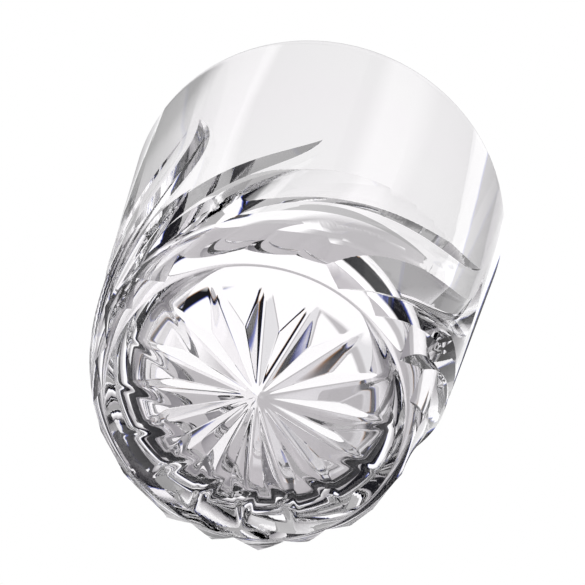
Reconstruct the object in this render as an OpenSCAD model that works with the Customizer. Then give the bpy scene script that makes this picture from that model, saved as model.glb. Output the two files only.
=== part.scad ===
// Schnapps glass: a small tumbler of cut crystal with swirling leaf cuts and a star-cut base.
// Millimetres. The origin is the middle of the base on the table, +Z is up.
// Angles run round the glass from the front, -Y, towards +X.

/* [Glass] */
// Outer diameter at the rim
rim_d = 50; // [46:0.5:60]
// Height from the table to the top of the rim
glass_h = 57; // [50:0.5:70]
// Outer diameter that the sloping wall has when it is carried down to the table
wall_foot_d = 42; // [39:0.5:46]
// Diameter of the standing ring
ring_d = 36; // [32:0.5:38]
// Bevel on the edge of the standing ring
ring_bevel = 0.3; // [0.1:0.1:0.6]
// Height of the sloping heel between the standing ring and the wall
heel_h = 3; // [2:0.1:4.5]
// Thickness of the glass at the lip
lip_t = 0.9; // [0.7:0.1:1.5]
// Height of the band that ends in the lip
rim_h = 3; // [2:0.5:5]

/* [Drinking space] */
// Thickness of the solid base
base_t = 5.8; // [5:0.1:8]
// Diameter of the flat floor
floor_d = 24; // [18:0.5:26]
// Rounding between the floor and the inner wall
floor_r = 6; // [3:0.5:7]

/* [Star] */
// Number of rays
star_rays = 16; // [8:1:20]
// Distance from the middle to the tip of a ray
ray_len = 16; // [10:0.5:16]
// Depth of the star in the middle
star_depth = 2.25; // [1:0.05:3]
// Angle between the two faces of a ray
ray_angle = 120; // [90:1:130]

/* [Big leaf] */
// Number of leaf sets round the glass
leaf_sets = 3; // [2:1:3]
// Angle of the leaf's tip
leaf_tip = 70; // [64:1:74]
// Height of the leaf's tip above the table
leaf_tip_h = 40.2; // [36:0.2:44]

/* [Cut along the big leaf's upper edge] */
// Angle of its foot
top_foot = -53; // [-56:1:-48]
// Depth of the cut, halfway up
top_depth = 0.9; // [0.4:0.05:1.1]
// Slope of its upper face against the wall
top_upper_slope = 26; // [20:1:36]
// Slope of its lower face against the wall
top_lower_slope = 40; // [34:1:54]

/* [Cut along the big leaf's lower edge] */
// Angle of its foot
edge_foot = 13; // [9:1:16]
// Depth of the cut, halfway up
edge_depth = 1.6; // [0.8:0.05:1.8]
// Slope of its upper face against the wall
edge_upper_slope = 28; // [22:1:38]
// Slope of its lower face against the wall
edge_lower_slope = 36; // [32:1:48]

/* [Short cut] */
// Angle of its foot
short_foot = 29; // [26:1:32]
// Angle of its tip
short_tip = 78; // [72:1:82]
// Height of its tip above the table
short_tip_h = 17.5; // [14:0.5:21]
// Depth of the cut, halfway up
short_depth = 1; // [0.5:0.05:1.2]
// Slope of its upper face against the wall
short_upper_slope = 28; // [22:1:38]
// Slope of its lower face against the wall
short_lower_slope = 44; // [34:1:54]

/* [Small leaf] */
// Angle of its foot
small_foot = 51; // [48:1:54]
// Angle of its tip
small_tip = 115.5; // [110:0.5:120]
// Height of its tip above the table
small_tip_h = 29.3; // [26:0.1:33]
// Depth of its cut, halfway up
small_depth = 1.1; // [0.6:0.05:1.3]
// Slope of its upper face against the wall
small_upper_slope = 30; // [24:1:40]
// Slope of its lower face against the wall
small_lower_slope = 34; // [26:1:44]

/* [First flute on the big leaf's panel] */
// Angle of its foot
first_foot = -29.5; // [-33:0.5:-26]
// Angle at which it runs out
first_tip = 58; // [52:1:62]
// Height at which it runs out
first_tip_h = 30; // [26:0.5:33]
// Depth at its foot
first_depth = 2.3; // [1.6:0.1:2.6]

/* [Second flute on the panel] */
// Angle of its foot
second_foot = -10.5; // [-14:0.5:-8]
// Angle at which it runs out
second_tip = 52; // [46:1:56]
// Height at which it runs out
second_tip_h = 20.5; // [17:0.5:24]
// Depth at its foot
second_depth = 2.3; // [1.6:0.1:2.6]

/* [Third flute on the panel] */
// Angle of its foot
third_foot = 2; // [0:0.5:5]
// Angle at which it runs out
third_tip = 50; // [44:1:54]
// Height at which it runs out
third_tip_h = 17.5; // [15:0.5:20]
// Depth at its foot
third_depth = 2; // [1.4:0.1:2.4]

/* [Shape of the flutes] */
// Radius of the hollow at a flute's foot
flute_r = 30; // [24:1:40]
// How much that radius grows up to the end
flute_flare = 40; // [20:1:60]
// Depth that a flute keeps halfway up
flute_belly = 0.12; // [0.05:0.01:0.2]

/* [Hidden] */
$fn = 96;

glass_tint = [0.86, 0.88, 0.91, 0.6];
// Stations along a leaf cut, along a flute, and round the floor's rounding
cut_steps = 18;
flute_steps = 12;
round_steps = 8;
// Points across a flute
flute_points = 7;
// How fast a flute gets shallower above its foot
flute_fall = 1.8;
// Cutters start a little below the table and stand a little proud of the wall
below = 0.5;
proud = 1.2;
// A cutter leaves the wall by this much at its tip, which closes the cut in a point
tip_rise = 0.2;
// A star ray's prism runs on by this much past its tip
ray_past = 1;
// Plain glass above the tips of the leaves, up to where the plain wall starts
tip_margin = 1.5;

rim_r = rim_d / 2;
ring_r = ring_d / 2;
wall_foot_r = wall_foot_d / 2;
plain_z = max(leaf_tip_h, small_tip_h) + tip_margin;
rim_z = glass_h - rim_h;
// Every cut meets the standing ring, so its foot is as deep as the ring is set in
foot_depth = wall_foot_r - ring_r;

// Where the two handles of a cut's curve lie, as shares of its turn and of its rise
top_bends = [[0.25, 0.47], [0.83, 0.32]];
edge_bends = [[0.78, 0.36], [1.27, 0.61]];
short_bends = [[0.41, 0.37], [0.76, 0.74]];
small_bends = [[0.16, 0.52], [0.85, 0.56]];
first_bends = [[0.18, 0.37], [0.87, 0.56]];
second_bends = [[0.16, 0.38], [0.53, 0.56]];
third_bends = [[0.19, 0.48], [0.29, 0.42]];

// The outer wall is a cone from the table to the rim
function wall_r(z) = wall_foot_r + (rim_r - wall_foot_r) * z / glass_h;

// The inner wall runs from the lip to where it touches the floor's rounding
function lip_point() = [rim_r - lip_t, glass_h];
function round_centre() = [floor_d / 2, base_t + floor_r];
function lip_ray() = lip_point() - round_centre();
function touch_angle() = atan2(lip_ray().y, lip_ray().x) - acos(floor_r / norm(lip_ray()));
function round_point(a) = round_centre() + floor_r * [cos(a), sin(a)];
function inner_r(z) =
    let (low = round_point(touch_angle()), high = lip_point())
    low.x + (high.x - low.x) * (z - low.y) / (high.y - low.y);

function polar(r, angle, z) = [r * sin(angle), -r * cos(angle), z];
function outward(angle) = [sin(angle), -cos(angle), 0];
function onward(angle) = [cos(angle), sin(angle), 0];

// A cut's path is a cubic curve in angle and height
function path(foot, tip, tip_h, bends) =
    let (low = [foot, -below], span = [tip - foot, tip_h + below])
    [low, low + [span.x * bends[0].x, span.y * bends[0].y],
     low + [span.x * bends[1].x, span.y * bends[1].y], low + span];
function along(p, t) =
    pow(1 - t, 3) * p[0] + 3 * pow(1 - t, 2) * t * p[1] + 3 * (1 - t) * t * t * p[2] + t * t * t * p[3];
function heading(p, t) =
    pow(1 - t, 2) * (p[1] - p[0]) + 2 * (1 - t) * t * (p[2] - p[1]) + t * t * (p[3] - p[2]);

// Direction that lies in the wall, square to the path, towards its upper side
function upward(p, t) =
    let (at = along(p, t), go = heading(p, t), run = go.x * PI / 180 * wall_r(at.y), rise = go.y)
    (run * [0, 0, 1] - rise * onward(at.x)) / norm([run, rise]);

// A point of a cutter: aside is measured up from the path in the wall, out from the wall's surface
function cutter_point(p, t, aside, out) =
    let (at = along(p, t))
    polar(wall_r(at.y) + out, at.x, at.y) + aside * upward(p, t);

function leaf_cut_depth(t, depth) =
    foot_depth * pow(1 - t, 4) + depth * 4 * t * (1 - t) - tip_rise * pow(t, 6);
function flute_depth(t, depth) =
    depth * pow(1 - t, flute_fall) + flute_belly * 4 * t * (1 - t) - tip_rise * pow(t, 6);

// Solid swept through rings of points, each ring listed clockwise as seen along the path
module swept(rings) {
    m = len(rings[0]);
    n = len(rings);
    function side(k, i) =
        let (j = (i + 1) % m, a = k * m + i, b = k * m + j, c = a + m, d = b + m)
        [[b, a, c], [b, c, d]];
    polyhedron(
        points = [for (ring = rings) for (point = ring) point],
        faces = concat(
            [[for (i = [0 : m - 1]) i]],
            [for (k = [0 : n - 2]) for (i = [0 : m - 1]) for (face = side(k, i)) face],
            [[for (i = [m - 1 : -1 : 0]) (n - 1) * m + i]]));
}

// Cut of a mitre wheel: two plain faces that meet in a sharp valley
module leaf_cut(p, depth, upper_slope, lower_slope) {
    swept([for (k = [0 : cut_steps])
        let (t = k / cut_steps, d = leaf_cut_depth(t, depth), high = d + proud)
        [cutter_point(p, t, -high / tan(lower_slope), proud),
         cutter_point(p, t, 0, -d),
         cutter_point(p, t, high / tan(upper_slope), proud)]]);
}

// Cut of a broad wheel: a hollow that is deep at its foot and runs out flat at its tip
module flute(p, depth) {
    swept([for (k = [0 : flute_steps])
        let (t = k / flute_steps, d = flute_depth(t, depth), r = flute_r + flute_flare * t,
             half = sqrt(2 * r * (d + proud)))
        [for (i = [0 : flute_points - 1])
            let (aside = half * (2 * i / (flute_points - 1) - 1))
            cutter_point(p, t, aside, aside * aside / (2 * r) - d)]]);
}

module leaf_cuts() {
    for (k = [0 : leaf_sets - 1])
        rotate([0, 0, k * 360 / leaf_sets]) {
            leaf_cut(path(top_foot, leaf_tip, leaf_tip_h, top_bends),
                     top_depth, top_upper_slope, top_lower_slope);
            leaf_cut(path(edge_foot, leaf_tip, leaf_tip_h, edge_bends),
                     edge_depth, edge_upper_slope, edge_lower_slope);
            leaf_cut(path(short_foot, short_tip, short_tip_h, short_bends),
                     short_depth, short_upper_slope, short_lower_slope);
            leaf_cut(path(small_foot, small_tip, small_tip_h, small_bends),
                     small_depth, small_upper_slope, small_lower_slope);
            flute(path(first_foot, first_tip, first_tip_h, first_bends), first_depth);
            flute(path(second_foot, second_tip, second_tip_h, second_bends), second_depth);
            flute(path(third_foot, third_tip, third_tip_h, third_bends), third_depth);
        }
}

// One ray of the star: a tilted prism, deepest in the middle of the base and pointed at its tip
module star_ray() {
    tilt = atan(star_depth / ray_len);
    high = star_depth + below;
    half = high * tan(ray_angle / 2);
    translate([0, 0, star_depth])
        rotate([0, tilt, 0])
            rotate([90, 0, 90])
                linear_extrude(height = ray_len + ray_past)
                    polygon([[0, 0], [-half, -high], [half, -high]]);
}

module star_cut() {
    for (k = [0 : star_rays - 1])
        rotate([0, 0, (k + 0.5) * 360 / star_rays - 90]) star_ray();
}

// Uncut base: a flat bottom, the bevelled ring, the heel and the foot of the wall
module base_blank() {
    rotate_extrude()
        polygon([[0, 0], [ring_r - ring_bevel, 0], [ring_r, ring_bevel],
                 [wall_r(heel_h), heel_h], [wall_r(base_t), base_t], [0, base_t]]);
}

// Uncut lower wall, thick enough for the leaf cuts
module cut_wall_blank() {
    a = touch_angle();
    rotate_extrude()
        polygon(concat(
            [[wall_r(base_t), base_t], [wall_r(plain_z), plain_z], [inner_r(plain_z), plain_z]],
            [for (k = [0 : round_steps]) round_point(a + (-90 - a) * k / round_steps)]));
}

module star_base() {
    color(glass_tint)
        difference() {
            base_blank();
            leaf_cuts();
            star_cut();
        }
}

module cut_wall() {
    color(glass_tint)
        difference() {
            cut_wall_blank();
            leaf_cuts();
        }
}

module plain_wall() {
    color(glass_tint)
        rotate_extrude()
            polygon([[inner_r(plain_z), plain_z], [wall_r(plain_z), plain_z],
                     [wall_r(rim_z), rim_z], [inner_r(rim_z), rim_z]]);
}

// The band narrows to the lip, whose top is a half round
module rim() {
    lip_z = glass_h - lip_t / 2;
    color(glass_tint)
        union() {
            rotate_extrude()
                polygon([[inner_r(rim_z), rim_z], [wall_r(rim_z), rim_z],
                         [rim_r, lip_z], [rim_r - lip_t, lip_z]]);
            rotate_extrude()
                translate([rim_r - lip_t / 2, lip_z]) circle(d = lip_t);
        }
}

star_base();
cut_wall();
plain_wall();
rim();
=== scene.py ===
"""Looks of the schnapps glass: one clear crystal tumbler with leaf cuts and a star, on a pale studio floor.

Lengths are in millimetres until a mesh gets them, where MM turns them into metres.
Angles run round the glass from the front, -Y, towards +X, in degrees.
"""

import math

import bpy
from mathutils import Matrix, Quaternion, Vector


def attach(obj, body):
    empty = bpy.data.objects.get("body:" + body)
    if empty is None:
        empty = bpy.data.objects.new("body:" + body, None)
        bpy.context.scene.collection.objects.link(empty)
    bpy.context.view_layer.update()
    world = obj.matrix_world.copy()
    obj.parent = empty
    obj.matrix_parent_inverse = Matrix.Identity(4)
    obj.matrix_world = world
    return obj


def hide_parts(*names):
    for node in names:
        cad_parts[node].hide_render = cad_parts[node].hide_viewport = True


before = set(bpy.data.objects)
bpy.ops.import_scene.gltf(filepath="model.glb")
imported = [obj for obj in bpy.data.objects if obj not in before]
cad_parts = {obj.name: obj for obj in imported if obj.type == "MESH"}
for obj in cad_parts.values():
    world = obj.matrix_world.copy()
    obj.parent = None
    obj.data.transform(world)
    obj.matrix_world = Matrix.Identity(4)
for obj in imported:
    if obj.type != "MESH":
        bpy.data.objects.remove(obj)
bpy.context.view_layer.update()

MM = 0.001

# Glass, as in the part's source
RIM_R = 25.0
GLASS_H = 57.0
WALL_FOOT_R = 21.0
RING_R = 18.0
RING_BEVEL = 0.3
HEEL_H = 3.0
LIP_T = 0.9
BASE_T = 5.8
FLOOR_R = 12.0
FLOOR_ROUND = 6.0

# Star, with valleys and edges polished round
STAR_RAYS = 16
RAY_LEN = 16.0
STAR_DEPTH = 2.25
RAY_ANGLE = 120.0
RAY_ROUND = 0.5
RAY_POLISH = 0.12

# Leaf cuts
LEAF_SETS = 3
FOOT_DEPTH = WALL_FOOT_R - RING_R
FOOT_FALL = 4
TIP_RISE = 0.2
TIP_FALL = 6
BELOW = 0.5
PROUD = 1.2
# name: foot angle, tip angle, tip height, depth halfway up, slopes of the upper and lower face,
# and the two handles of the path as shares of its turn and rise
LEAF_CUTS = {
    "leaf_upper": (-53, 70, 40.2, 0.9, 26, 40, (0.25, 0.47), (0.83, 0.32)),
    "leaf_lower": (13, 70, 40.2, 1.6, 28, 36, (0.78, 0.36), (1.27, 0.61)),
    "short_cut": (29, 78, 17.5, 1.0, 28, 44, (0.41, 0.37), (0.76, 0.74)),
    "small_leaf": (51, 115.5, 29.3, 1.1, 30, 34, (0.16, 0.52), (0.85, 0.56)),
}
# Tongues on the big leaf's panel: foot angle, tip angle, tip height, depth at the foot
# and the two handles of the path
TONGUES = (
    (-29.5, 58, 30.0, 2.3, (0.18, 0.37), (0.87, 0.56)),
    (-10.5, 52, 20.5, 2.3, (0.16, 0.38), (0.53, 0.56)),
    (2, 50, 17.5, 2.0, (0.19, 0.48), (0.29, 0.42)),
)
TONGUE_FALL = 1.8
TONGUE_MID_DEPTH = 0.12
TONGUE_FOOT_R = 30.0
TONGUE_FLARE = 40.0

# Fineness of the mesh
ROUND_STEPS = 512
FLOOR_STEPS = 24
LIP_STEPS = 24
BOTTOM_STEPS = 60
CUT_STEPS = 64
TONGUE_STEPS = 80
TONGUE_POINTS = 23
SMOOTH_ANGLE = 11.0
MERGE_GAP = 0.0005
BOTTOM_LEVEL = 0.01

# Crystal: a trace of tint, the waves left by polishing, and the ring rubbed by use
CRYSTAL_IOR = 1.54
CRYSTAL_TINT = (0.995, 0.965, 0.995)
TINT_GRAIN = 20.0
TINT_DETAIL = 1.0
WAVE_GRAIN = 9.0
WAVE_DETAIL = 0.0
WAVE_HEIGHT = 0.02
RUB_WIDTH = 0.8
RUB_GRAIN = 0.3
RUB_DETAIL = 2.0
RUB_ROUGHNESS = 0.25

# Colours of the studio
PLAIN_WHITE = (1.0, 1.0, 1.0)
WHITE = (1.12, 1.12, 1.12)
LIGHT = (0.86, 0.86, 0.87)
PALE = (0.58, 0.57, 0.58)
GREY = (0.36, 0.35, 0.37)
DARK = (0.10, 0.10, 0.11)
BLACK = (0.012, 0.012, 0.015)
AMBER = (0.45, 0.22, 0.07)
BLUE = (0.08, 0.12, 0.55)

# Glowing card over the mouth, seen only through the glass: pale bars of painted light in front of a bent
# edge, painted shade in grey behind it
CARD_Z = 62.0
CARD_R = 26.5
CARD_STEPS = 96
CARD_EDGE = 2.5
CARD_BEND = 0.058
# Rays that come from deeper down than this pass the card
CARD_REACH = 54.0
# Greys of the painted light bars from left to right, with their places
CARD_LIGHT_BARS = (
    (-30, 0.45), (-18.5, 0.5), (-16.5, 1.12), (-11.5, 1.12), (-10.5, 0.95),
    (1.5, 0.96), (3.5, 1.08), (7.0, 1.08), (10.0, 0.98), (30, 1.0),
)
# Greys of the painted shade behind the card's edge, from left to right
CARD_SHADE_GREYS = ((-30, 0.64), (0, 0.60), (8, 0.54), (16, 0.41), (30, 0.37))

# Room that is seen straight through the glass, from low to high:
# angle from behind the glass towards its right, and colour
ROOM_LOW = (
    (-180, GREY), (-65, PALE), (-50, DARK), (-20, GREY), (-5, PALE),
    (18, PALE), (22, BLACK), (60, BLACK), (70, GREY), (180, GREY),
)
ROOM_MID = (
    (-180, GREY), (-48, GREY), (-44, WHITE), (-24, WHITE), (-20, PALE),
    (28, PALE), (34, DARK), (60, DARK), (70, GREY), (180, GREY),
)
ROOM_HIGH = (
    (-180, GREY), (-90, GREY), (-70, PALE), (-47, PALE), (-45.5, AMBER), (-44.5, BLACK),
    (-40.5, BLACK), (-39.5, BLUE), (-38, WHITE), (3, WHITE), (5, PALE), (16, PALE),
    (20, LIGHT), (30.5, LIGHT), (32, AMBER), (33, BLACK), (39, BLACK), (40, BLUE),
    (42, LIGHT), (60, LIGHT), (80, GREY), (180, GREY),
)
ROOM_UPPER = (
    (-180, GREY), (-90, GREY), (-70, WHITE), (-35.5, WHITE), (-34, AMBER), (-33, BLACK),
    (-19, BLACK), (-18, BLUE), (-16.5, WHITE), (6, WHITE), (8, PALE), (16, PALE),
    (20, LIGHT), (80, LIGHT), (100, GREY), (180, GREY),
)
ROOM_TOP = ((-180, GREY), (-120, GREY), (-90, WHITE), (90, WHITE), (120, GREY), (180, GREY))
# Where each part of the room goes over into the next, as heights in degrees
ROOM_STEPS = ((31.0, 34.0), (46.0, 48.0), (56.0, 57.5), (70.0, 72.0))

# Slanting windows in a dark wall, for rays that the glass mirrored inside itself; black overhead
WINDOW_PITCH = 60.0
WINDOW_SLANT = 0.9
WINDOW_TURN = 0.25
WINDOWS = (
    (0.0, BLACK), (0.31, BLACK), (0.33, BLUE), (0.35, WHITE), (0.57, WHITE),
    (0.6, LIGHT), (0.76, PALE), (0.92, GREY), (0.95, BLACK), (1.0, BLACK),
)
# Plain patches in that wall: from and to round the room, from and to in height, and grey
PLAIN_PATCHES = (
    (-112.0, -30.0, 55.0, 78.0, 0.34),
    (-181.0, -112.0, 40.0, 78.0, 0.50),
    (96.0, 181.0, 40.0, 78.0, 0.42),
)
WINDOW_TOP = (78.0, 84.0)

# Even light of the room for the floor
AMBIENT = (0.7, 0.7, 0.7)
# Soft lamp for the floor and the shadow: place, edge and power in watts
LAMP_PLACE = (-300.0, -250.0, 600.0)
LAMP_EDGE = 500.0
LAMP_POWER = 2.2
# Studio floor, and how much of its shadow is lifted by painted light, a glow in its own tone, where it is
# seen straight through the glass
STAGE_SIZE = 1600.0
STAGE_DROP = 0.3
STAGE_TONE = (0.86, 0.86, 0.87)
STAGE_ROUGHNESS = 0.6
SHADOW_LIFT = 0.6

# Camera, as in the photograph
CAMERA_LENS = 184.6
CAMERA_SENSOR = 36.0
CAMERA_PLACE = (0.0, -163.0, -309.5)
CAMERA_AIM = (0.1, -1.8, 28.5)
CAMERA_ROLL = 18.35
# How often a ray may meet the glass
BOUNCES = 32
MIRROR_BOUNCES = 16


def wall_r(z):
    """Radius of the uncut outer wall."""
    return WALL_FOOT_R + (RIM_R - WALL_FOOT_R) * z / GLASS_H


def polar(r, angle, z):
    """Point at a radius, an angle from the front and a height."""
    a = math.radians(angle)
    return Vector((r * math.sin(a), -r * math.cos(a), z))


def glass_profile():
    """Half section of the uncut glass, from the bottom's middle round the lip to the floor's middle."""
    lip_mid = Vector((RIM_R - LIP_T / 2, GLASS_H - LIP_T / 2))
    lip = []
    for k in range(LIP_STEPS + 1):
        a = math.pi * k / LIP_STEPS
        lip.append((lip_mid.x + LIP_T / 2 * math.cos(a), lip_mid.y + LIP_T / 2 * math.sin(a)))
    lip_inner = Vector((RIM_R - LIP_T, GLASS_H))
    centre = Vector((FLOOR_R, BASE_T + FLOOR_ROUND))
    ray = lip_inner - centre
    touch = math.atan2(ray.y, ray.x) - math.acos(FLOOR_ROUND / ray.length)
    floor = []
    for k in range(FLOOR_STEPS + 1):
        a = touch + (-math.pi / 2 - touch) * k / FLOOR_STEPS
        floor.append((centre.x + FLOOR_ROUND * math.cos(a), centre.y + FLOOR_ROUND * math.sin(a)))
    flat = RING_R - RING_BEVEL
    bottom = [(flat * k / BOTTOM_STEPS, 0) for k in range(BOTTOM_STEPS + 1)]
    outside = bottom + [(RING_R, RING_BEVEL), (wall_r(HEEL_H), HEEL_H)]
    return outside + lip + floor + [(0, BASE_T)]


def deselect_all():
    """Leaves edit mode with nothing selected."""
    if bpy.context.object and bpy.context.object.mode != "OBJECT":
        bpy.ops.object.mode_set(mode="OBJECT")
    bpy.ops.object.select_all(action="DESELECT")


def tidy_normals():
    """Merges doubled points of the mesh in edit mode and turns its faces outwards."""
    bpy.ops.mesh.select_all(action="SELECT")
    bpy.ops.mesh.remove_doubles(threshold=MERGE_GAP * MM)
    bpy.ops.mesh.normals_make_consistent(inside=False)


def turned_blank():
    """The uncut glass: the half section, spun round the glass's axis."""
    profile = glass_profile()
    deselect_all()
    bpy.ops.mesh.primitive_circle_add(vertices=len(profile), radius=1, fill_type="NOTHING")
    blank = bpy.context.object
    blank.name = "glass"
    for vertex, (r, z) in zip(blank.data.vertices, profile):
        vertex.co = (r * MM, 0, z * MM)
    bpy.ops.object.mode_set(mode="EDIT")
    bpy.ops.mesh.select_all(action="DESELECT")
    bpy.ops.object.mode_set(mode="OBJECT")
    last = len(profile) - 1
    for edge in blank.data.edges:
        edge.select = set(edge.vertices) == {0, last}
    bpy.ops.object.mode_set(mode="EDIT")
    bpy.ops.mesh.select_mode(type="EDGE")
    bpy.ops.mesh.delete(type="EDGE")
    bpy.ops.mesh.select_all(action="SELECT")
    bpy.ops.mesh.spin(steps=ROUND_STEPS, angle=math.tau, center=(0, 0, 0), axis=(0, 0, 1))
    tidy_normals()
    bpy.ops.object.mode_set(mode="OBJECT")
    return blank


class CutPath:
    """A cut's way over the outer wall: a cubic curve in angle and height."""

    def __init__(self, foot, tip, tip_h, first, second):
        low = Vector((foot, -BELOW))
        span = Vector((tip - foot, tip_h + BELOW))
        bend = [Vector((low.x + span.x * b[0], low.y + span.y * b[1])) for b in (first, second)]
        self.points = (low, bend[0], bend[1], low + span)

    def place(self, t):
        """Angle and height at a share of the way."""
        p0, p1, p2, p3 = self.points
        return p0 * (1 - t) ** 3 + p1 * 3 * (1 - t) ** 2 * t + p2 * 3 * (1 - t) * t * t + p3 * t ** 3

    def heading(self, t):
        """Direction of the path in angle and height."""
        p0, p1, p2, p3 = self.points
        return (p1 - p0) * (1 - t) ** 2 + (p2 - p1) * 2 * (1 - t) * t + (p3 - p2) * t * t

    def point(self, t, aside, out):
        """Point of a cutter: aside is measured up from the path in the wall, out from the wall's surface."""
        at = self.place(t)
        go = self.heading(t)
        run = math.radians(go.x) * wall_r(at.y)
        along_wall = polar(1, at.x + 90, 0)
        upward = (Vector((0, 0, run)) - along_wall * go.y) / math.hypot(run, go.y)
        return polar(wall_r(at.y) + out, at.x, at.y) + upward * aside


def bent_bar(name, corners, steps, corner_place):
    """A straight bar with rings across it, whose corners are then moved to corner_place(t, corner)."""
    deselect_all()
    bpy.ops.mesh.primitive_cylinder_add(vertices=corners, radius=1, depth=1, end_fill_type="NGON")
    bar = bpy.context.object
    bar.name = name
    for edge in bar.data.edges:
        low, high = (bar.data.vertices[i].co.z for i in edge.vertices)
        edge.select = abs(high - low) > 0.5
    for polygon in bar.data.polygons:
        polygon.select = False
    bpy.ops.object.mode_set(mode="EDIT")
    bpy.ops.mesh.select_mode(type="EDGE")
    bpy.ops.mesh.subdivide(number_cuts=steps - 1)
    bpy.ops.object.mode_set(mode="OBJECT")
    for vertex in bar.data.vertices:
        turn = math.atan2(vertex.co.x, vertex.co.y) / math.tau
        corner = round(turn * corners) % corners
        vertex.co = corner_place(vertex.co.z + 0.5, corner) * MM
    bpy.ops.object.mode_set(mode="EDIT")
    tidy_normals()
    bpy.ops.object.mode_set(mode="OBJECT")
    return bar


def leaf_cutter(name, foot, tip, tip_h, depth, upper_slope, lower_slope, first, second):
    """Mitre wheel's cut: two faces that meet in a sharp valley, deep at the foot and pointed at the tip."""
    path = CutPath(foot, tip, tip_h, first, second)

    def corner_place(t, corner):
        d = FOOT_DEPTH * (1 - t) ** FOOT_FALL + depth * 4 * t * (1 - t) - TIP_RISE * t ** TIP_FALL
        high = d + PROUD
        if corner == 0:
            return path.point(t, 0, -d)
        if corner == 1:
            return path.point(t, high / math.tan(math.radians(upper_slope)), PROUD)
        return path.point(t, -high / math.tan(math.radians(lower_slope)), PROUD)

    return bent_bar(name, 3, CUT_STEPS, corner_place)


def tongue_cutter(name, foot, tip, tip_h, depth, first, second):
    """Broad wheel's cut: a hollow, deep and round at its foot, and flat where it runs out at its tip."""
    path = CutPath(foot, tip, tip_h, first, second)

    def corner_place(t, corner):
        d = depth * (1 - t) ** TONGUE_FALL + TONGUE_MID_DEPTH * 4 * t * (1 - t) - TIP_RISE * t ** TIP_FALL
        curve_r = TONGUE_FOOT_R + TONGUE_FLARE * t
        half = math.sqrt(2 * curve_r * (d + PROUD))
        aside = half * (2 * corner / (TONGUE_POINTS - 1) - 1)
        return path.point(t, aside, aside * aside / (2 * curve_r) - d)

    return bent_bar(name, TONGUE_POINTS, TONGUE_STEPS, corner_place)


def soft_max(a, b):
    """The larger of two depths, with the edge between them polished round."""
    gap = b - a
    if gap < -RAY_POLISH:
        return a
    if gap > RAY_POLISH:
        return b
    return a + (gap + RAY_POLISH) ** 2 / (4 * RAY_POLISH)


def star_depth(x, y):
    """How deep the star is at a place of the bottom: the deepest of its rays, with polished edges."""
    depth = 0.0
    for k in range(STAR_RAYS):
        a = math.tau * (k + 0.5) / STAR_RAYS
        along = x * math.sin(a) - y * math.cos(a)
        across = x * math.cos(a) + y * math.sin(a)
        if along < 0:
            continue
        side = math.sqrt(across * across + RAY_ROUND * RAY_ROUND) - RAY_ROUND
        ray = STAR_DEPTH * (1 - along / RAY_LEN) - side / math.tan(math.radians(RAY_ANGLE / 2))
        depth = soft_max(depth, ray)
    return depth


def press_star(blank):
    """Lifts the bottom's points into the star."""
    for vertex in blank.data.vertices:
        if vertex.co.z < BOTTOM_LEVEL * MM:
            vertex.co.z += star_depth(vertex.co.x / MM, vertex.co.y / MM) * MM


def turned_copies(piece, count):
    """Copies of a cutter round the glass's axis, each with its own mesh."""
    copies = []
    for k in range(count):
        copy = piece.copy()
        copy.data = piece.data.copy()
        copy.data.transform(Matrix.Rotation(math.radians(360 * k / count), 4, "Z"))
        copies.append(copy)
    bpy.data.objects.remove(piece)
    return copies


def cut_glass():
    """The blank with all its cuts."""
    glass = turned_blank()
    press_star(glass)
    cutters = []
    for name, cut in LEAF_CUTS.items():
        cutters += turned_copies(leaf_cutter(name, *cut), LEAF_SETS)
    for tongue in TONGUES:
        cutters += turned_copies(tongue_cutter("tongue", *tongue), LEAF_SETS)
    rack = bpy.data.collections.new("cutters")
    for cutter in cutters:
        rack.objects.link(cutter)
    deselect_all()
    bpy.context.view_layer.objects.active = glass
    glass.select_set(True)
    cuts = glass.modifiers.new("cuts", "BOOLEAN")
    cuts.operation = "DIFFERENCE"
    cuts.operand_type = "COLLECTION"
    cuts.collection = rack
    cuts.solver = "MANIFOLD"
    bpy.ops.object.modifier_apply(modifier=cuts.name)
    for cutter in cutters:
        bpy.data.objects.remove(cutter)
    bpy.data.collections.remove(rack)
    bpy.ops.object.shade_smooth_by_angle(angle=math.radians(SMOOTH_ANGLE))
    return glass


def rgba(colour):
    """A colour with full cover."""
    return (*colour, 1)


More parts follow.
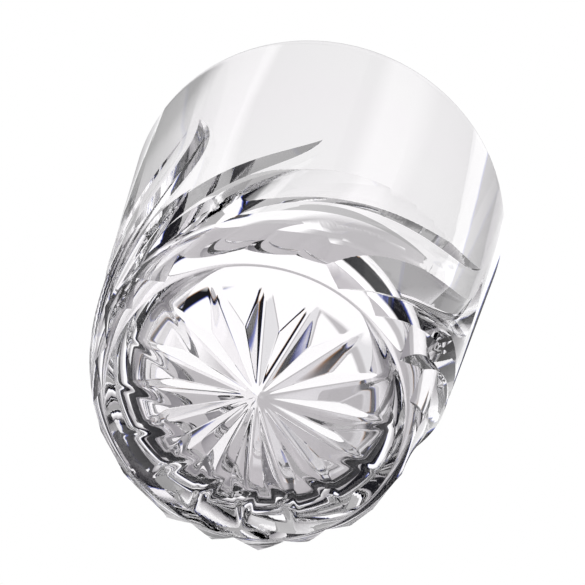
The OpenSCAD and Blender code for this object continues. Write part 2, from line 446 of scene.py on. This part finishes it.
class Wiring:
    """The nodes of a material or of the room, and the wires between them."""

    def __init__(self, owner):
        owner.use_nodes = True
        self.nodes = owner.node_tree.nodes
        self.links = owner.node_tree.links

    def add(self, kind):
        """A new node of a kind."""
        return self.nodes.new("ShaderNode" + kind)

    def feed(self, source, socket):
        """Wires an output to a socket, or sets the socket to a plain value."""
        if isinstance(source, bpy.types.NodeSocket):
            self.links.new(source, socket)
        else:
            socket.default_value = source

    def calc(self, operation, *terms):
        """Result of one step of arithmetic on outputs and plain numbers."""
        step = self.add("Math")
        step.operation = operation
        for term, socket in zip(terms, step.inputs):
            self.feed(term, socket)
        return step.outputs[0]

    def share(self, value, off, on):
        """Zero to one while a value goes from off to on."""
        span = self.add("MapRange")
        span.inputs["From Min"].default_value = off
        span.inputs["From Max"].default_value = on
        self.links.new(value, span.inputs["Value"])
        return span.outputs["Result"]

    def between(self, value, low, high):
        """One where a value lies between two others, else zero."""
        return self.calc("COMPARE", value, (low + high) / 2, (high - low) / 2)

    def axes(self, vector):
        """X, Y and Z of a vector."""
        split = self.add("SeparateXYZ")
        self.links.new(vector, split.inputs["Vector"])
        return split.outputs

    def noise(self, place, grain, detail):
        """Soft irregular pattern whose lumps are about a grain in millimetres."""
        pattern = self.add("TexNoise")
        pattern.inputs["Scale"].default_value = 1 / (grain * MM)
        pattern.inputs["Detail"].default_value = detail
        self.links.new(place, pattern.inputs["Vector"])
        return pattern.outputs["Fac"]

    def colours(self, share, first, second):
        """The first colour where the share is zero, the second where it is one."""
        mix = self.add("Mix")
        mix.data_type = "RGBA"
        self.feed(share, mix.inputs["Factor"])
        self.feed(first, mix.inputs["A"])
        self.feed(second, mix.inputs["B"])
        return mix.outputs["Result"]

    def shaders(self, share, first, second):
        """The first shader where the share is zero, the second where it is one."""
        mix = self.add("MixShader")
        self.links.new(share, mix.inputs["Fac"])
        self.links.new(first, mix.inputs[1])
        self.links.new(second, mix.inputs[2])
        return mix.outputs["Shader"]

    def ramp(self, value, unit, stops):
        """Colours along a value, each given by its place, in a unit of the value, and its colour."""
        first = stops[0][0]
        last = stops[-1][0]
        ramp = self.add("ValToRGB")
        self.links.new(self.share(value, first * unit, last * unit), ramp.inputs["Fac"])
        ends = ramp.color_ramp.elements
        ends[0].position = 0.0
        ends[0].color = rgba(stops[0][1])
        ends[1].position = 1.0
        ends[1].color = rgba(stops[-1][1])
        for place, colour in stops[1:-1]:
            stop = ends.new((place - first) / (last - first))
            stop.color = rgba(colour)
        return ramp.outputs["Color"]

    def greys(self, value, stops):
        """Greys along a value in millimetres."""
        return self.ramp(value, MM, [(place, (grey, grey, grey)) for place, grey in stops])

    def mirrored_inside(self):
        """One for rays that the glass has mirrored on their way, else zero."""
        return self.calc("GREATER_THAN", self.add("LightPath").outputs["Glossy Depth"], 0.5)

    def surface(self, shader):
        """Wires a shader to the material's surface."""
        self.links.new(shader, self.nodes["Material Output"].inputs["Surface"])


def crystal():
    """Clear lead crystal, faintly wavy from polishing by hand, with a standing ring rubbed by use."""
    material = bpy.data.materials.new("crystal")
    wiring = Wiring(material)
    shader = wiring.nodes["Principled BSDF"]
    shader.inputs["IOR"].default_value = CRYSTAL_IOR
    shader.inputs["Transmission Weight"].default_value = 1.0
    place = wiring.add("TexCoord").outputs["Object"]

    cloud = wiring.noise(place, TINT_GRAIN, TINT_DETAIL)
    tint = wiring.colours(cloud, rgba(PLAIN_WHITE), rgba(CRYSTAL_TINT))
    wiring.feed(tint, shader.inputs["Base Color"])

    waves = wiring.add("Bump")
    waves.inputs["Distance"].default_value = WAVE_HEIGHT * MM
    wiring.feed(wiring.noise(place, WAVE_GRAIN, WAVE_DETAIL), waves.inputs["Height"])
    wiring.feed(waves.outputs["Normal"], shader.inputs["Normal"])

    level = wiring.add("VectorMath")
    level.operation = "MULTIPLY"
    level.inputs[1].default_value = (1, 1, 0)
    wiring.feed(place, level.inputs[0])
    radius = wiring.add("VectorMath")
    radius.operation = "LENGTH"
    wiring.feed(level.outputs["Vector"], radius.inputs[0])
    low = wiring.share(wiring.axes(place)["Z"], 2 * RING_BEVEL * MM, 0.0)
    outer = wiring.share(radius.outputs["Value"], (RING_R - RUB_WIDTH) * MM, RING_R * MM)
    ring = wiring.calc("MULTIPLY", low, outer)
    rubbed = wiring.calc("MULTIPLY", ring, wiring.noise(place, RUB_GRAIN, RUB_DETAIL))
    wiring.feed(wiring.calc("MULTIPLY", rubbed, RUB_ROUGHNESS), shader.inputs["Roughness"])
    return material


def studio_floor():
    """Pale floor that a camera below it looks through, painted black for rays that the glass mirrored, as
    dark reflections, and partly glowing for rays straight through the glass, as painted light that lifts its
    shadow.
    """
    deselect_all()
    bpy.ops.mesh.primitive_plane_add(size=STAGE_SIZE * MM, location=(0, 0, -STAGE_DROP * MM))
    floor = bpy.context.object
    floor.name = "floor"
    material = bpy.data.materials.new("pale_floor")
    wiring = Wiring(material)
    shader = wiring.nodes["Principled BSDF"]
    shader.inputs["Roughness"].default_value = STAGE_ROUGHNESS
    # Painted reflection: for rays that the glass mirrored inside itself the floor is black, which puts dark
    # glints in the glass
    mirrored = wiring.mirrored_inside()
    tone = wiring.colours(mirrored, rgba(STAGE_TONE), rgba(BLACK))
    wiring.feed(tone, shader.inputs["Base Color"])

    # Painted light: for rays straight through the glass the floor partly glows in its own tone, which lifts
    # its shadow there
    through = wiring.add("LightPath").outputs["Is Transmission Ray"]
    straight = wiring.calc("GREATER_THAN", wiring.calc("SUBTRACT", through, mirrored), 0.5)
    painted_glow = wiring.add("Emission")
    painted_glow.inputs["Color"].default_value = rgba(STAGE_TONE)
    lift = wiring.calc("MULTIPLY", straight, SHADOW_LIFT)
    top = wiring.shaders(lift, shader.outputs["BSDF"], painted_glow.outputs["Emission"])
    below = wiring.add("NewGeometry").outputs["Backfacing"]
    wiring.surface(wiring.shaders(below, top, wiring.add("BsdfTransparent").outputs["BSDF"]))
    floor.data.materials.append(material)


def overhead_card():
    """Glowing card over the mouth for rays from the wall, lighting nothing: pale bars of painted light in
    front of its bent edge, painted shade in grey behind it.
    """
    deselect_all()
    bpy.ops.mesh.primitive_circle_add(
        vertices=CARD_STEPS, radius=CARD_R * MM, fill_type="NGON", location=(0, 0, CARD_Z * MM))
    card = bpy.context.object
    card.name = "overhead_card"
    bpy.ops.object.transform_apply(location=True)
    material = bpy.data.materials.new("painted_light_card")
    wiring = Wiring(material)
    wiring.nodes.remove(wiring.nodes["Principled BSDF"])
    place = wiring.axes(wiring.add("TexCoord").outputs["Object"])
    aside = wiring.calc("MULTIPLY", place["X"], place["X"])
    bent = wiring.calc("MULTIPLY_ADD", aside, -CARD_BEND / MM, place["Y"])
    behind = wiring.calc("GREATER_THAN", bent, CARD_EDGE * MM)
    # Painted light in the pale bars in front of the bent edge, painted shade in the greys behind it
    bars = wiring.greys(place["X"], CARD_LIGHT_BARS)
    back = wiring.greys(place["X"], CARD_SHADE_GREYS)
    light = wiring.add("Emission")
    wiring.feed(wiring.colours(behind, bars, back), light.inputs["Color"])
    deep = wiring.calc("GREATER_THAN", wiring.add("LightPath").outputs["Ray Length"], CARD_REACH * MM)
    unseen = wiring.calc("MAXIMUM", deep, wiring.mirrored_inside())
    clear = wiring.add("BsdfTransparent")
    wiring.surface(wiring.shaders(unseen, light.outputs["Emission"], clear.outputs["BSDF"]))
    card.data.materials.append(material)
    card.visible_camera = False
    card.visible_diffuse = False
    card.visible_shadow = False
    card.visible_volume_scatter = False


def heights(step):
    """The upward parts of directions at two heights in degrees."""
    return [math.sin(math.radians(h)) for h in step]


def window_wall(wiring, angle, height):
    """Dark wall all round with bright windows that slant, plain patches and a black lid."""
    slant = wiring.calc("MULTIPLY_ADD", height, WINDOW_SLANT, angle)
    count = wiring.calc("MULTIPLY_ADD", slant, 1 / math.radians(WINDOW_PITCH), WINDOW_TURN)
    wall = wiring.ramp(wiring.calc("FRACT", count), 1.0, WINDOWS)
    for first, last, low, high, grey in PLAIN_PATCHES:
        along = wiring.between(angle, math.radians(first), math.radians(last))
        up = wiring.between(height, *heights((low, high)))
        wall = wiring.colours(wiring.calc("MULTIPLY", along, up), wall, (grey, grey, grey, 1))
    return wiring.colours(wiring.share(height, *heights(WINDOW_TOP)), wall, rgba(BLACK))


def plain_room(wiring, angle, height):
    """Pale room with narrow dark bands, each part of it going over into the next one up."""
    degree = math.radians(1)
    room = wiring.ramp(angle, degree, ROOM_LOW)
    for step, ring in zip(ROOM_STEPS, (ROOM_MID, ROOM_HIGH, ROOM_UPPER, ROOM_TOP)):
        room = wiring.colours(wiring.share(height, *heights(step)), room, wiring.ramp(angle, degree, ring))
    return room


def studio_world():
    """White behind the glass, one room for what the glass bends and another for what it mirrors."""
    world = bpy.data.worlds.new("studio")
    bpy.context.scene.world = world
    wiring = Wiring(world)
    direction = wiring.axes(wiring.add("TexCoord").outputs["Generated"])
    angle = wiring.calc("ARCTAN2", direction["X"], direction["Y"])
    room = plain_room(wiring, angle, direction["Z"])
    windows = window_wall(wiring, angle, direction["Z"])
    seen = wiring.colours(wiring.mirrored_inside(), room, windows)
    path = wiring.add("LightPath").outputs
    by_glass = wiring.calc("MAXIMUM", path["Is Glossy Ray"], path["Is Transmission Ray"])
    around = wiring.colours(by_glass, rgba(PLAIN_WHITE), seen)
    from_floor = wiring.calc("GREATER_THAN", path["Diffuse Depth"], 0.5)
    light = wiring.colours(from_floor, around, rgba(AMBIENT))
    wiring.feed(light, wiring.nodes["Background"].inputs["Color"])


def soft_lamp():
    """Large lamp above the left front, which throws the glass's soft shadow on the floor."""
    data = bpy.data.lights.new("softbox", "AREA")
    data.shape = "SQUARE"
    data.size = LAMP_EDGE * MM
    data.energy = LAMP_POWER
    lamp = bpy.data.objects.new("softbox", data)
    bpy.context.collection.objects.link(lamp)
    lamp.location = Vector(LAMP_PLACE) * MM
    lamp.rotation_euler = (-lamp.location).to_track_quat("-Z", "Y").to_euler()
    lamp.visible_glossy = False
    lamp.visible_transmission = False


def photo_camera():
    """Camera below the glass, tilted as in the photograph."""
    data = bpy.data.cameras.new("camera")
    data.lens = CAMERA_LENS
    data.sensor_width = CAMERA_SENSOR
    camera = bpy.data.objects.new("camera", data)
    bpy.context.collection.objects.link(camera)
    camera.location = Vector(CAMERA_PLACE) * MM
    aim = Vector(CAMERA_AIM) * MM
    level = (aim - camera.location).to_track_quat("-Z", "Y")
    camera.rotation_mode = "QUATERNION"
    camera.rotation_quaternion = level @ Quaternion((0, 0, 1), math.radians(CAMERA_ROLL))
    bpy.context.scene.camera = camera


bpy.context.scene.view_settings.view_transform = "Standard"
bpy.context.scene.cycles.max_bounces = BOUNCES
bpy.context.scene.cycles.transmission_bounces = BOUNCES
bpy.context.scene.cycles.glossy_bounces = MIRROR_BOUNCES
glass = cut_glass()
glass.data.materials.clear()
glass.data.materials.append(crystal())
glass.data.polygons.foreach_set("material_index", [0] * len(glass.data.polygons))
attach(glass, "root")
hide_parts("star_base", "cut_wall", "plain_wall", "rim")
studio_floor()
studio_world()
overhead_card()
soft_lamp()
photo_camera()
